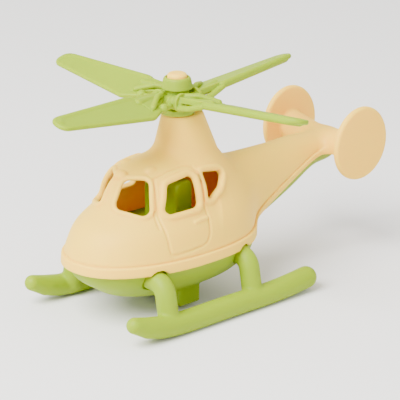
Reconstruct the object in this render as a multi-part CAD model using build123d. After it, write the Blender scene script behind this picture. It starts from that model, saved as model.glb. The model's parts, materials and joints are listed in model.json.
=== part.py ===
from build123d import *
import os
from math import cos, pi, radians, sin, tan

# Toy helicopter, millimetres. The nose points along -Y, the helicopter's left side is +X, +Z is up.
# The origin is on the ground, under the middle of the object's box.

# ---- Driving dimensions --------------------------------------------------------------------------

WALL = 2.5                  # moulded wall
GAP = 0.3                   # clearance between mouldings that only sit beside each other
RUNNING = 0.05              # radial clearance of the rotor on its pin

RIM_Z = 36.5                # where the upper and lower shells meet under the cabin
BAND_HEIGHT = 6.5           # raised band along the upper shell's rim
BAND_PROUD = 1.4
SWEEP_START_Y = 25.0        # the joint line starts to rise towards the tail here
SWEEP_END = (88.0, 71.0)    # and ends here, at y and z, under the stabiliser

# Cabin, as level outlines: height, nose y, half width, rear y, squareness of the nose.
WIDEST_Y = -38.0
CABIN_LEVELS = [
    (36.5, -107.0, 42.0, 27.0, 2.15),
    (44.0, -106.2, 41.4, 26.0, 2.15),
    (52.0, -103.0, 39.8, 24.0, 2.15),
    (60.0, -97.5, 37.0, 21.0, 2.15),
    (66.0, -89.5, 33.2, 18.0, 2.1),
    (70.0, -83.7, 30.8, 15.5, 2.1),
    (76.0, -80.3, 29.4, 12.0, 2.1),
    (82.0, -77.0, 27.6, 8.0, 2.1),
    (87.0, -73.2, 24.8, 3.0, 2.1),
    (91.0, -67.6, 20.6, -3.0, 2.1),
    (94.0, -60.5, 14.5, -11.0, 2.0),
    (96.2, -51.0, 7.5, -22.0, 2.0),
]
CABIN_REAR_SQUARENESS = 2.4

# Belly bowl, the same way, from the rim down.
BELLY_LEVELS = [
    (46.0, -104.5, 40.2, 28.5, 2.15),
    (36.5, -104.0, 40.0, 27.0, 2.15),
    (31.0, -102.0, 38.6, 26.0, 2.15),
    (25.5, -96.5, 35.5, 22.5, 2.15),
    (20.0, -88.0, 30.0, 17.0, 2.1),
    (15.0, -76.0, 22.0, 8.5, 2.1),
    (12.0, -66.0, 13.0, -3.0, 2.0),
    (11.0, -57.0, 5.0, -17.0, 2.0),
]
BELLY_REAR_SQUARENESS = 2.5

# Boom, as upright sections: y, half width, middle height, half height.
BOOM_SECTIONS = [
    (-6.0, 28.0, 59.0, 26.0),
    (8.0, 24.5, 58.8, 25.7),
    (24.0, 19.0, 58.8, 25.2),
    (42.0, 14.0, 60.4, 23.6),
    (64.0, 11.8, 65.1, 19.1),
    (78.0, 11.2, 68.9, 15.3),
    (92.0, 10.8, 72.3, 11.9),
    (106.0, 10.0, 73.3, 10.7),
    (115.0, 5.0, 74.5, 5.5),
]

ROTOR_Y = -24.0             # rotor axis, x = 0
MAST_TOP_Z = 120.0
MAST_TOP = (11.9, 13.4)     # half length across and along
MAST_TOP_Y = -19.9
MAST_BASE_Z = 80.0
MAST_BASE = (21.5, 27.0)
MAST_BASE_Y = -16.5
MAST_HOLLOW_Z = 86.0

ARM_RADIUS = 9.2            # tail stabiliser arms
ARM_Y = 105.0
ARM_ROOT_Z = 73.3
ARM_END_Z = 78.5
FIN_X = 32.5
FIN_Z = 80.6
FIN_HALF_Y = 22.8
FIN_HALF_Z = 23.8
FIN_THICK = 4.2
FIN_CANT = 6.6              # degrees, tops leaning outwards
FIN_RAKE = 1.5              # and backwards
FIN_Y = 104.8

RUNNER_X = 47.5
RUNNER_RADIUS = 7.0
RUNNER_TIP_RADIUS = 5.4
RUNNER_FLAT = 0.3           # depth of the flat that the runner stands on
RUNNER_AXIS_Z = RUNNER_RADIUS - RUNNER_FLAT
# The runner's gently rockered middle line, from the rear to the upturned tip: y, and rise.
RUNNER_RISE = [(41.3, 2.2), (20.0, 0.35), (-10.0, 0.0), (-40.0, 0.0), (-76.0, 1.7), (-90.0, 4.5), (-101.8, 8.4)]
LEG_RADIUS = 6.4
LEG_Z = 31.9
LEG_BEND_RADIUS = 9.0
LEG_BEND_X = 34.0          # the leg starts to bend down here
LEG_LEAN = 10.0             # degrees outwards, from upright, below the bend
LEG_FRONT_Y = -72.2
LEG_REAR_Y = -2.8
LEG_INNER_X = 12.0
LEG_CHANNEL_X = 24.0        # the channel stops here, outside the solid foot
FOOT_X = 18.0
FOOT_Z = 26.8               # underside of a leg's foot, where it sits on its boss

DECK_Z = 48.0               # top of the cabin deck
DECK_FRONT_Y = -66.0
SEAT_HALF_WIDTH = 14.7
SEAT_FRONT_Y = -39.0
SEAT_DEPTH = 14.5
SEAT_TOP_Z = 81.5
SEAT_ROUND = 4.0
DECK_REAR_Y = 4.0
DECK_POST_X = 20.0
DECK_POST_YS = (-52.0, -20.0)
DECK_POST_Z = 24.0          # where the deck's posts stand on the lower shell's bosses

BLADE_TIP_RADIUS = 102.8
BLADE_ROOT_RADIUS = 22.0
BLADE_WIDEST_RADIUS = 34.0
BLADE_ROOT_CHORD = (11.0, 16.0)     # ahead of and behind the arm's middle line
BLADE_TIP_CHORD = (5.6, 7.4)
BLADE_THICK = 3.0
BLADE_PITCH = 16.0          # degrees
BLADE_CONING = 3.7
BLADE_EDGE = 1.2
BLADE_HUB_Z = 128.9         # where the blades' middle lines meet the rotor axis
ROTOR_REST_ANGLE = 4.2      # the left blade's angle from +X at rest
BLADE_NAMES = ["blade_left", "blade_rear", "blade_right", "blade_front"]

HEAD_BOTTOM_Z = MAST_TOP_Z + GAP
COLLAR_RADIUS = 12.2
COLLAR_TOP_Z = 124.0
SLEEVE_RADIUS = 4.8
RING_RADIAL = 12.0
RING_RADIUS = 6.0
RING_THICK = 2.0
FORK_START = 19.0
FORK_END = 33.0
FORK_WIDTH = 19.0
FORK_THICK = 7.5
DOME_BASE_RADIUS = 9.7
DOME_TOP_RADIUS = 8.0
DOME_TOP_Z = 143.5
RECESS_RADIUS = 6.7
RECESS_Z = 139.0
CAP_RADIUS = 6.2
CAP_TOP_Z = 145.7
PIN_RADIUS = 4.0
PIN_BOTTOM_Z = 97.0
PIN_BOSS_RADIUS = 8.0

SCREW_RADIUS = 1.5
SCREW_HEAD_RADIUS = 2.9
SCREW_HEAD_HEIGHT = 2.0
BOSS_RADIUS = 4.2

SCREW_BITE = 8.0            # depth of a pilot hole
SCREW_GRIP = 6.0            # length of a shell screw's clamped part
FOOT_SCREW_GRIP = 3.0
FOOT_SCREW_BITE = 6.0
WASHER_RADIUS = 6.2
WASHER_THICK = 1.0
SHELL_SCREWS = [(-92.0, 60.0), (36.0, 83.0), (72.0, 83.0)]  # y, and the height where the boss meets the roof

BOSS_LIP = 2.0              # how far the lower bosses stand above the joint line
BOOM_STEP = 0.9             # the green underside of the boom sits this far inside the cream
UPPER_NOTCH_GAP = 0.9
LOWER_NOTCH_GAP = 0.5
NOTCH_INNER_X = 23.0
ARM_END_WALL = 3.0

BLOCK_HALF_WIDTH = 22.0
BLOCK_Y = (-43.0, -26.0)
BLOCK_BOTTOM_Z = 3.5
BLOCK_HEIGHT = 16.0

# ---- Outlines ------------------------------------------------------------------------------------

OUTLINE_POINTS = 16


def power(value, exponent):
    """Signed power, for superellipse outlines."""
    return abs(value) ** exponent if value >= 0 else -abs(value) ** exponent


def level_outline(z, nose_y, half_width, rear_y, nose_squareness, rear_squareness, inset):
    """Closed egg-shaped outline at one height, rounder or squarer ahead and behind."""
    points = []
    for step in range(OUTLINE_POINTS):
        angle = 2 * pi * step / OUTLINE_POINTS
        ahead = sin(angle) < 0
        exponent = 2 / (nose_squareness if ahead else rear_squareness)
        reach = WIDEST_Y - nose_y if ahead else rear_y - WIDEST_Y
        x = (half_width - inset) * power(cos(angle), exponent)
        y = WIDEST_Y + (reach - inset) * power(sin(angle), exponent)
        points.append((x, y, z))
    return Wire([Spline(*points, periodic=True)])


def level_loft(levels, rear_squareness, inset=0.0, lift=0.0):
    """Closed solid through level outlines; lift moves all but the first level. Hollows are ruled."""
    outlines = []
    for index, (z, nose_y, half_width, rear_y, nose_squareness) in enumerate(levels):
        height = z if index == 0 else z + lift
        outlines.append(level_outline(height, nose_y, half_width, rear_y, nose_squareness, rear_squareness, inset))
    return Solid.make_loft(outlines, ruled=inset > 0)


def cabin_solid(inset=0.0):
    lift = -inset if inset > 0 else 0.0
    return level_loft(CABIN_LEVELS, CABIN_REAR_SQUARENESS, inset, lift)


def belly_solid(inset=0.0):
    return level_loft(BELLY_LEVELS, BELLY_REAR_SQUARENESS, inset, inset)


def boom_solid(inset=0.0):
    """Tapering boom, with the smooth rear of the cabin at its front end."""
    wires = []
    for y, half_width, middle_z, half_height in BOOM_SECTIONS:
        plane = Plane(origin=(0, y, middle_z), x_dir=(1, 0, 0), z_dir=(0, 1, 0))
        ellipse = Ellipse(half_width - inset, half_height - inset)
        wires.append((plane * ellipse).face().outer_wire())
    return Solid.make_loft(wires)


def side_prism(points, half_width):
    """Prism across X from an outline given as (y, z) points."""
    outline = Polyline(*[(0, y, z) for y, z in points], close=True)
    return extrude(make_face(outline), amount=half_width, dir=(1, 0, 0), both=True)


def joint_line(offset=0.0):
    """The line where the two shells meet, from beyond the nose to beyond the tail, as (y, z) points."""
    end_y, end_z = SWEEP_END
    return [(-130, RIM_Z + offset), (SWEEP_START_Y, RIM_Z + offset), (end_y, end_z + offset), (140, end_z + offset)]


def above_joint(offset=0.0):
    return side_prism(joint_line(offset) + [(140, 170), (-130, 170)], 80)


def below_joint(offset=0.0):
    return side_prism(joint_line(offset) + [(140, -10), (-130, -10)], 80)


def column(x, y, bottom_z, top_z, radius):
    return Pos(x, y, bottom_z) * Cylinder(radius, top_z - bottom_z, align=(Align.CENTER, Align.CENTER, Align.MIN))


def mirrored(shape):
    return mirror(shape, about=Plane.YZ)


# ---- Upper shell ---------------------------------------------------------------------------------

def mast():
    """Tapered oval tower, its top flat."""
    top = Plane(origin=(0, MAST_TOP_Y, MAST_TOP_Z)) * Ellipse(*MAST_TOP)
    base = Plane(origin=(0, MAST_BASE_Y, MAST_BASE_Z)) * Ellipse(*MAST_BASE)
    return loft([base, top])


def mast_hollow():
    """Straight oval hole up the mast, open to the cabin."""
    floor = Plane(origin=(0, MAST_TOP_Y, MAST_HOLLOW_Z)) * Ellipse(MAST_TOP[0] - WALL, MAST_TOP[1] - WALL)
    return extrude(floor, amount=MAST_TOP_Z - WALL - MAST_HOLLOW_Z, dir=(0, 0, 1))


def arm_line():
    """Middle line of the left stabiliser arm, from the boom to the fin."""
    return Line((0, ARM_Y, ARM_ROOT_Z), (FIN_X, ARM_Y, ARM_END_Z))


def arm(radius, end_clearance=0.0):
    line = arm_line()
    start = Plane(origin=line @ 0, z_dir=line % 0)
    length = line.length - end_clearance
    return start * Cylinder(radius, length, align=(Align.CENTER, Align.CENTER, Align.MIN))


def fin():
    """Egg-shaped plate, narrower at the bottom, leaning outwards at the top."""
    points = []
    for step in range(16):
        angle = 2 * pi * step / 16
        height = FIN_HALF_Z * sin(angle)
        narrowing = 1.0 + 0.06 * sin(angle)
        points.append((FIN_HALF_Y * narrowing * cos(angle), height))
    face = Plane.YZ * Face(Wire([Spline(*points, periodic=True)]))
    plate = extrude(face, amount=FIN_THICK / 2, both=True)
    plate = fillet(plate.edges(), 1.4)
    return Pos(FIN_X, FIN_Y, FIN_Z) * Rot(0, FIN_CANT, 0) * Rot(-FIN_RAKE, 0, 0) * plate


def door_window():
    outline = make_face(Polyline(
        (0, -54.5, 86.5), (0, -34.5, 87.8), (0, -35.5, 70.3), (0, -60.5, 69.8), close=True))
    outline = fillet(outline.vertices(), 4.0)
    return extrude(outline, amount=60, dir=(1, 0, 0))


def quarter_window():
    outline = make_face(Polyline((0, -25.0, 88.0), (0, -6.0, 84.5), (0, -12.5, 77.0), (0, -25.0, 70.5), close=True))
    outline = fillet(outline.vertices(), 2.5)
    return extrude(outline, amount=60, dir=(1, 0, 0))


def windshield_pane():
    """Left pane, from beside the centre pillar round to the front of the door."""
    facing = Plane(origin=(14.0, -72.0, 79.0), x_dir=(0.82, 0.57, 0), z_dir=(0.57, -0.82, 0))
    corners = [(-8.6, 7.4), (8.2, 7.8), (10.6, -8.6), (-10.4, -4.8)]
    outline = facing * fillet(make_face(Polyline(*corners, close=True)).vertices(), 3.5)
    return extrude(outline, amount=20, both=True)


def windows():
    left = [door_window(), quarter_window(), windshield_pane()]
    return left + [mirrored(window) for window in left]


def leg_notches(clearance):
    """Round cuts through the shells' side walls, where the legs come out."""
    cuts = []
    for leg_y in (LEG_FRONT_Y, LEG_REAR_Y):
        along_x = Plane(origin=(NOTCH_INNER_X, leg_y, LEG_Z), z_dir=(1, 0, 0))
        cut = along_x * Cylinder(LEG_RADIUS + clearance, 40, align=(Align.CENTER, Align.CENTER, Align.MIN))
        cuts += [cut, mirrored(cut)]
    return cuts


def boss_top(y):
    """Height where a lower boss meets the upper shell's boss: just above the joint line."""
    end_y, end_z = SWEEP_END
    rise = (end_z - RIM_Z) / (end_y - SWEEP_START_Y)
    return RIM_Z + max(0.0, y - SWEEP_START_Y) * rise + BOSS_LIP


def upper_shell():
    outer = cabin_solid() + boom_solid() + mast() + arm(ARM_RADIUS) + mirrored(arm(ARM_RADIUS))
    band = (cabin_solid(-BAND_PROUD) + boom_solid(-BAND_PROUD)) & below_joint(BAND_HEIGHT)
    outer = (outer + band) & above_joint()
    outer = outer + fin() + mirrored(fin())

    arm_hollow = arm(ARM_RADIUS - WALL, ARM_END_WALL)
    shell = outer
    for hollow in [cabin_solid(WALL), boom_solid(WALL), mast_hollow(), arm_hollow, mirrored(arm_hollow)]:
        shell = shell - hollow

    shell += column(0, ROTOR_Y, PIN_BOTTOM_Z, MAST_TOP_Z - 1, PIN_BOSS_RADIUS)
    for y, roof_z in SHELL_SCREWS:
        shell += column(0, y, boss_top(y), roof_z, BOSS_RADIUS)
        shell -= column(0, y, boss_top(y) - 1, boss_top(y) + SCREW_BITE, SCREW_RADIUS)
    shell -= column(0, ROTOR_Y, PIN_BOTTOM_Z - 5, MAST_TOP_Z + 5, PIN_RADIUS)
    return shell - windows() - leg_notches(UPPER_NOTCH_GAP)


# ---- Lower shell ---------------------------------------------------------------------------------

def foot_places():
    """Middle of each leg's foot, as (x, y)."""
    return [(side * FOOT_X, y) for side in (1, -1) for y in (LEG_FRONT_Y, LEG_REAR_Y)]


def deck_post_places():
    return [(side * DECK_POST_X, y) for side in (1, -1) for y in DECK_POST_YS]


def lower_shell():
    body = belly_solid() + boom_solid(BOOM_STEP)
    hollow = belly_solid(WALL) + boom_solid(BOOM_STEP + WALL)
    shell = (body - hollow) & below_joint()

    block_length = BLOCK_Y[1] - BLOCK_Y[0]
    block = Pos(0, sum(BLOCK_Y) / 2, BLOCK_BOTTOM_Z) * Box(
        2 * BLOCK_HALF_WIDTH, block_length, BLOCK_HEIGHT, align=(Align.CENTER, Align.CENTER, Align.MIN))
    block = fillet(block.edges().filter_by(Axis.Z), 3.0)
    shell += block - hollow

    for y, _ in SHELL_SCREWS:
        shell += column(0, y, 0, boss_top(y), BOSS_RADIUS) & body
    for x, y in foot_places():
        shell += column(x, y, 0, FOOT_Z, BOSS_RADIUS) & body
    for x, y in deck_post_places():
        shell += column(x, y, 0, DECK_POST_Z, BOSS_RADIUS) & body
    for y, _ in SHELL_SCREWS:
        shell -= column(0, y, 0, MAST_TOP_Z, SCREW_RADIUS)
        shell -= column(0, y, 0, boss_top(y) - SCREW_GRIP, SCREW_HEAD_RADIUS + GAP)
    for x, y in foot_places():
        shell -= column(x, y, 0, MAST_TOP_Z, SCREW_RADIUS)
        shell -= column(x, y, 0, FOOT_Z - FOOT_SCREW_GRIP, SCREW_HEAD_RADIUS + GAP)
    return shell - leg_notches(LOWER_NOTCH_GAP)


# ---- Cabin deck and seat -------------------------------------------------------------------------

def cabin_deck():
    """Low deck on four posts, with one tall, wide seat in the middle."""
    slab = Pos(0, (DECK_FRONT_Y + DECK_REAR_Y) / 2, DECK_Z - WALL / 2) * Box(200, DECK_REAR_Y - DECK_FRONT_Y, WALL)
    deck = cabin_solid(WALL + GAP) & slab
    seat = Pos(0, SEAT_FRONT_Y + SEAT_DEPTH / 2, DECK_Z - 1) * Box(
        2 * SEAT_HALF_WIDTH, SEAT_DEPTH, SEAT_TOP_Z - DECK_Z + 1, align=(Align.CENTER, Align.CENTER, Align.MIN))
    seat = fillet(seat.edges().filter_by(Axis.Z) + seat.faces().sort_by(Axis.Z)[-1].edges(), SEAT_ROUND)
    deck += seat
    for x, y in deck_post_places():
        deck += column(x, y, DECK_POST_Z, DECK_Z - 1, BOSS_RADIUS)
    return deck


# ---- Skids ---------------------------------------------------------------------------------------

def leg_path(leg_y, start_x, end_z):
    """Out of the belly, round a bend, and down to the runner."""
    turn = radians(90 - LEG_LEAN)
    knee_x = LEG_BEND_X + LEG_BEND_RADIUS * sin(turn)
    knee_z = LEG_Z - LEG_BEND_RADIUS * (1 - cos(turn))
    out = Line((start_x, leg_y, LEG_Z), (LEG_BEND_X, leg_y, LEG_Z))
    bend = TangentArc(out @ 1, (knee_x, leg_y, knee_z), tangent=(1, 0, 0))
    down = Line(bend @ 1, (knee_x + (knee_z - end_z) / tan(turn), leg_y, end_z))
    return Wire([out, bend, down])


def leg(leg_y):
    """Bent round leg, hollowed from the inside of the bend like a channel, with a solid foot."""
    start = Plane(origin=(LEG_INNER_X, leg_y, LEG_Z), x_dir=(0, 1, 0), z_dir=(1, 0, 0))
    body = sweep(start * Circle(LEG_RADIUS), path=leg_path(leg_y, LEG_INNER_X, RUNNER_AXIS_Z))
    channel_radius = LEG_RADIUS - WALL
    channel_start = Plane(origin=(LEG_CHANNEL_X, leg_y, LEG_Z), x_dir=(0, 1, 0), z_dir=(1, 0, 0))
    mouth_depth = LEG_BEND_RADIUS - 0.6
    mouth = Pos(0, -mouth_depth / 2) * Rectangle(2 * channel_radius, mouth_depth)
    channel = sweep(channel_start * (Circle(channel_radius) + mouth),
                    path=leg_path(leg_y, LEG_CHANNEL_X, 2 * RUNNER_RADIUS))
    under_foot = Pos(LEG_INNER_X, leg_y, FOOT_Z) * Box(
        2 * (LEG_CHANNEL_X - LEG_INNER_X), 40, 20, align=(Align.CENTER, Align.CENTER, Align.MAX))
    hole = column(FOOT_X, leg_y, 0, FOOT_Z + FOOT_SCREW_BITE, SCREW_RADIUS)
    return body - channel - under_foot - hole


def runner():
    """Round rail with an upturned, narrower tip, flattened slightly where it stands."""
    line = Spline(*[(RUNNER_X, y, RUNNER_AXIS_Z + rise) for y, rise in RUNNER_RISE])
    sections = [
        Plane(origin=line @ 0, z_dir=line % 0) * Circle(RUNNER_RADIUS),
        Plane(origin=line @ 0.7, z_dir=line % 0.7) * Circle(RUNNER_RADIUS),
        Plane(origin=line @ 1, z_dir=line % 1) * Circle(RUNNER_TIP_RADIUS),
    ]
    rail = sweep(sections, path=line, multisection=True)
    rail += Pos(*(line @ 0)) * Sphere(RUNNER_RADIUS)
    rail += Pos(*(line @ 1)) * Sphere(RUNNER_TIP_RADIUS)
    return rail


def skid():
    body = runner() + leg(LEG_FRONT_Y) + leg(LEG_REAR_Y)
    return body - Pos(RUNNER_X, 0, 0) * Box(60, 400, 20, align=(Align.CENTER, Align.CENTER, Align.MAX))


# ---- Rotor ---------------------------------------------------------------------------------------

def on_arm(index):
    """Placement of one rotor arm: +X points out along the arm from the rotor axis."""
    turn = Rot(0, 0, ROTOR_REST_ANGLE + 90 * index)
    return Pos(0, ROTOR_Y, BLADE_HUB_Z) * turn * Rot(0, -BLADE_CONING, 0)


def blade(index, growth=0.0):
    """Flat tapered blade with a round tip, twisted so that its leading edge is higher."""
    root_ahead, root_behind = BLADE_ROOT_CHORD
    tip_ahead, tip_behind = BLADE_TIP_CHORD
    outline = make_face(Polyline(
        (BLADE_ROOT_RADIUS, -0.6 * root_ahead), (BLADE_WIDEST_RADIUS, -root_ahead), (BLADE_TIP_RADIUS, -tip_ahead),
        (BLADE_TIP_RADIUS, tip_behind), (BLADE_WIDEST_RADIUS, root_behind), (BLADE_ROOT_RADIUS, 0.6 * root_behind),
        close=True))
    tip_corners = outline.vertices().sort_by(Axis.X)[-2:]
    outline = fillet(tip_corners, 0.9 * tip_ahead)
    plate = extrude(outline, amount=BLADE_THICK / 2, both=True)
    plate = fillet(plate.faces().sort_by(Axis.Z)[-1].edges() + plate.faces().sort_by(Axis.Z)[0].edges(), BLADE_EDGE)
    return on_arm(index) * Rot(-BLADE_PITCH, 0, 0) * plate


def rotor_head(blades):
    """Hub with a recessed dome and four forked arms that grip the blade roots."""
    head = column(0, ROTOR_Y, HEAD_BOTTOM_Z, COLLAR_TOP_Z, COLLAR_RADIUS)
    dome = Pos(0, ROTOR_Y, COLLAR_TOP_Z) * Cone(
        DOME_BASE_RADIUS, DOME_TOP_RADIUS, DOME_TOP_Z - COLLAR_TOP_Z, align=(Align.CENTER, Align.CENTER, Align.MIN))
    head += dome
    for index in range(4):
        along = on_arm(index) * Rot(0, 90, 0)
        sleeve = along * Cylinder(SLEEVE_RADIUS, FORK_START + 1, align=(Align.CENTER, Align.CENTER, Align.MIN))
        ring = along * Pos(0, 0, RING_RADIAL) * Cylinder(RING_RADIUS, RING_THICK)
        fork = fillet(Box(FORK_END - FORK_START, FORK_WIDTH, FORK_THICK).edges(), 1.5)
        fork = on_arm(index) * Rot(-BLADE_PITCH, 0, 0) * Pos((FORK_START + FORK_END) / 2, 0, 0) * fork
        head += sleeve + ring + fork
    head -= column(0, ROTOR_Y, HEAD_BOTTOM_Z - 1, DOME_TOP_Z + 1, PIN_RADIUS + RUNNING)
    head -= column(0, ROTOR_Y, RECESS_Z, DOME_TOP_Z + 1, RECESS_RADIUS)
    return head - blades


def rotor_pin():
    """Pin that the rotor turns on, with a domed cap that sits in the hub's recess."""
    under_cap = RECESS_Z + GAP
    cap = column(0, ROTOR_Y, under_cap, CAP_TOP_Z, CAP_RADIUS)
    cap = fillet(cap.faces().sort_by(Axis.Z)[-1].edges(), 2.4)
    pin = cap + column(0, ROTOR_Y, PIN_BOTTOM_Z, under_cap, PIN_RADIUS)
    return pin - column(0, ROTOR_Y, PIN_BOTTOM_Z, PIN_BOTTOM_Z + SCREW_BITE + 2, SCREW_RADIUS)


# ---- Fasteners -----------------------------------------------------------------------------------

def screw(x, y, seat_z, length):
    """Pan-head self-tapping screw pointing up, its head below seat_z, with a cross slot."""
    head = column(x, y, seat_z - SCREW_HEAD_HEIGHT, seat_z, SCREW_HEAD_RADIUS)
    head = fillet(head.faces().sort_by(Axis.Z)[0].edges(), 0.7)
    slot = Pos(x, y, seat_z - SCREW_HEAD_HEIGHT) * (Box(3.2, 0.8, 1.8) + Box(0.8, 3.2, 1.8))
    return head + column(x, y, seat_z, seat_z + length, SCREW_RADIUS) - slot


def pin_washer():
    disc = column(0, ROTOR_Y, PIN_BOTTOM_Z - WASHER_THICK, PIN_BOTTOM_Z, WASHER_RADIUS)
    return disc - column(0, ROTOR_Y, PIN_BOTTOM_Z - 5, PIN_BOTTOM_Z + 5, SCREW_RADIUS)


def shell_screws():
    length = SCREW_GRIP + SCREW_BITE - 0.5
    return [screw(0, y, boss_top(y) - SCREW_GRIP, length) for y, _ in SHELL_SCREWS]


def skid_screws():
    length = FOOT_SCREW_GRIP + FOOT_SCREW_BITE - 0.5
    return [screw(x, y, FOOT_Z - FOOT_SCREW_GRIP, length) for x, y in foot_places()]


# ---- Assembly ------------------------------------------------------------------------------------

def build():
    blades = [blade(index) for index in range(4)]
    left_skid = skid()
    nodes = {
        "upper_shell": upper_shell(),
        "lower_shell": lower_shell(),
        "cabin_deck": cabin_deck(),
        "left_skid": left_skid,
        "right_skid": mirrored(left_skid),
        "rotor_head": rotor_head(blades),
        "rotor_pin": rotor_pin(),
        "pin_washer": pin_washer(),
        "pin_screw": screw(0, ROTOR_Y, PIN_BOTTOM_Z - WASHER_THICK, WASHER_THICK + SCREW_BITE),
        "shell_screws": Compound(children=shell_screws()),
        "skid_screws": Compound(children=skid_screws()),
    }
    nodes.update(zip(BLADE_NAMES, blades))
    return nodes


os.makedirs("parts", exist_ok=True)
for name, shape in build().items():
    export_step(shape, f"parts/{name}.step")
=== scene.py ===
"""Toy helicopter: how it looks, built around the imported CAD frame.

Blender objects are in metres. The mouldings are signed distance fields, negative inside, written in
millimetres in the same frame: nose towards -Y, the helicopter's left side at +X, +Z up.
"""
import json
import math

import bpy
import numpy as np
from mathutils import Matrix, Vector


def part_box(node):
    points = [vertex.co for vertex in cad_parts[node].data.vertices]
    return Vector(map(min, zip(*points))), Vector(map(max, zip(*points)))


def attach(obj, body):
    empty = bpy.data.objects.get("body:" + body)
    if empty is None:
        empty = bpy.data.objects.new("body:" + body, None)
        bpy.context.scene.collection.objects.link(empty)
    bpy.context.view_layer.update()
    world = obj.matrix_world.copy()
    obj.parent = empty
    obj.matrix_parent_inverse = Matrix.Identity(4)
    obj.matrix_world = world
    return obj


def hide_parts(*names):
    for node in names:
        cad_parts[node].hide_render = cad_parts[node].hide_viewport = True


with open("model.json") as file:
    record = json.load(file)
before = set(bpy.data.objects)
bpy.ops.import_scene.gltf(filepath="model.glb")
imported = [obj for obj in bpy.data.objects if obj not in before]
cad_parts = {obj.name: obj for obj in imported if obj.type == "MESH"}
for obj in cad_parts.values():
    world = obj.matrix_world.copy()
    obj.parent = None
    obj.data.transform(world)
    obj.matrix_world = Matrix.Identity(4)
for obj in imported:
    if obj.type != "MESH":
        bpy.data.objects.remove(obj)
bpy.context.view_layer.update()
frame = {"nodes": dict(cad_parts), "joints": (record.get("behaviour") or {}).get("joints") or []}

MM = 0.001
SHELL_CELL = 0.75      # grid pitch of each mesh
BODY_CELL = 0.9
FINE_CELL = 0.45
MOST_TRIANGLES = 190000
X_AXIS = np.array([1.0, 0, 0])
Z_AXIS = np.array([0, 0, 1.0])


def corners_mm(node):
    """Lowest and highest corner of a CAD node, in millimetres."""
    low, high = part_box(node)
    return np.array(low) / MM, np.array(high) / MM


# ---- Places taken from the frame -----------------------------------------------------------------

BAND_PROUD = 1.4
WALL = 2.5
shell_low, shell_high = corners_mm("upper_shell")
NOSE_Y = shell_low[1] + BAND_PROUD
RIM_Z = shell_low[2]
MAST_TOP_Z = shell_high[2]
ROTOR = np.array(frame["joints"][0]["pos_m"]) / MM
deck_low, deck_high = corners_mm("cabin_deck")
belly_low, belly_high = corners_mm("lower_shell")
skid_low, skid_high = corners_mm("left_skid")
head_low, head_high = corners_mm("rotor_head")
pin_low, pin_high = corners_mm("rotor_pin")


# ---- Fields --------------------------------------------------------------------------------------

def union(a, b, round_off=0.0):
    """Union of two fields, with a soft fillet about round_off wide."""
    if round_off == 0:
        return np.minimum(a, b)
    mix = np.clip(0.5 + 0.5 * (b - a) / round_off, 0, 1)
    return b + (a - b) * mix - round_off * mix * (1 - mix)


def overlap(a, b, round_off=0.0):
    return -union(-a, -b, round_off)


def cut(a, b, round_off=0.0):
    """Field a with b taken out of it."""
    return -union(-a, b, round_off)


class Curve:
    """Natural cubic spline through knots, carried on in a straight line past its ends."""

    def __init__(self, knots, values, reach=200.0, samples=400):
        knots, values = np.asarray(knots, float), np.asarray(values, float)
        order = np.argsort(knots)
        knots, values = knots[order], values[order]
        steps = np.diff(knots)
        slopes = np.diff(values) / steps
        size = len(knots)
        system, target = np.eye(size), np.zeros(size)
        for i in range(1, size - 1):
            system[i, i - 1:i + 2] = steps[i - 1], 2 * (steps[i - 1] + steps[i]), steps[i]
            target[i] = 6 * (slopes[i] - slopes[i - 1])
        bend = np.linalg.solve(system, target)
        at = np.linspace(knots[0], knots[-1], samples)
        piece = np.clip(np.searchsorted(knots, at) - 1, 0, size - 2)
        left, right, step = at - knots[piece], knots[piece + 1] - at, steps[piece]
        value = (bend[piece] * right**3 + bend[piece + 1] * left**3) / (6 * step)
        value += (values[piece] / step - bend[piece] * step / 6) * right
        value += (values[piece + 1] / step - bend[piece + 1] * step / 6) * left
        slope = np.gradient(value, at)
        first, last = value[0] - reach * slope[0], value[-1] + reach * slope[-1]
        self.at = np.concatenate([[at[0] - reach], at, [at[-1] + reach]])
        self.values = np.concatenate([[first], value, [last]])
        self.slopes = np.concatenate([[slope[0]], slope, [slope[-1]]])

    def __call__(self, t):
        return np.interp(t, self.at, self.values)

    def slope(self, t):
        return np.interp(t, self.at, self.slopes)


def swept(u, v, size, size_slope, ratio, ratio_slope=0.0, lean=0.0, power=2.0):
    """Field of |u|^power + |ratio v|^power = size^power, whose size, ratio and middle change along the
    third direction. size is given squared, so that it may run out to nothing at an end."""
    au, av = np.abs(u) + 1e-6, np.abs(v) + 1e-6
    s = (au**power + (ratio * av)**power)**(1 / power)
    along_u = (au / s)**(power - 1)
    along_v = ratio * (ratio * av / s)**(power - 1)
    along_t = 2 * s * along_v * (av * ratio_slope / ratio - np.sign(v) * lean) - size_slope
    steepness = np.sqrt(4 * s**2 * (along_u**2 + along_v**2) + along_t**2)
    return np.maximum((s**2 - size) / (steepness + 1e-3), -40.0)


def polygon(u, v, corners, rounding):
    """2-D field of a convex polygon with round corners; its corners run anticlockwise."""
    inner = inset_corners(corners, rounding)
    nearest, within = np.full(u.shape, 1e9), np.full(u.shape, -1e9)
    for (x0, y0), (x1, y1) in zip(inner, np.roll(inner, -1, axis=0)):
        ex, ey = x1 - x0, y1 - y0
        length = math.hypot(ex, ey)
        wx, wy = u - x0, v - y0
        share = np.clip((wx * ex + wy * ey) / length**2, 0, 1)
        nearest = np.minimum(nearest, (wx - ex * share)**2 + (wy - ey * share)**2)
        within = np.maximum(within, (wx * ey - wy * ex) / length)
    return np.where(within < 0, -np.sqrt(nearest), np.sqrt(nearest)) - rounding


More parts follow.
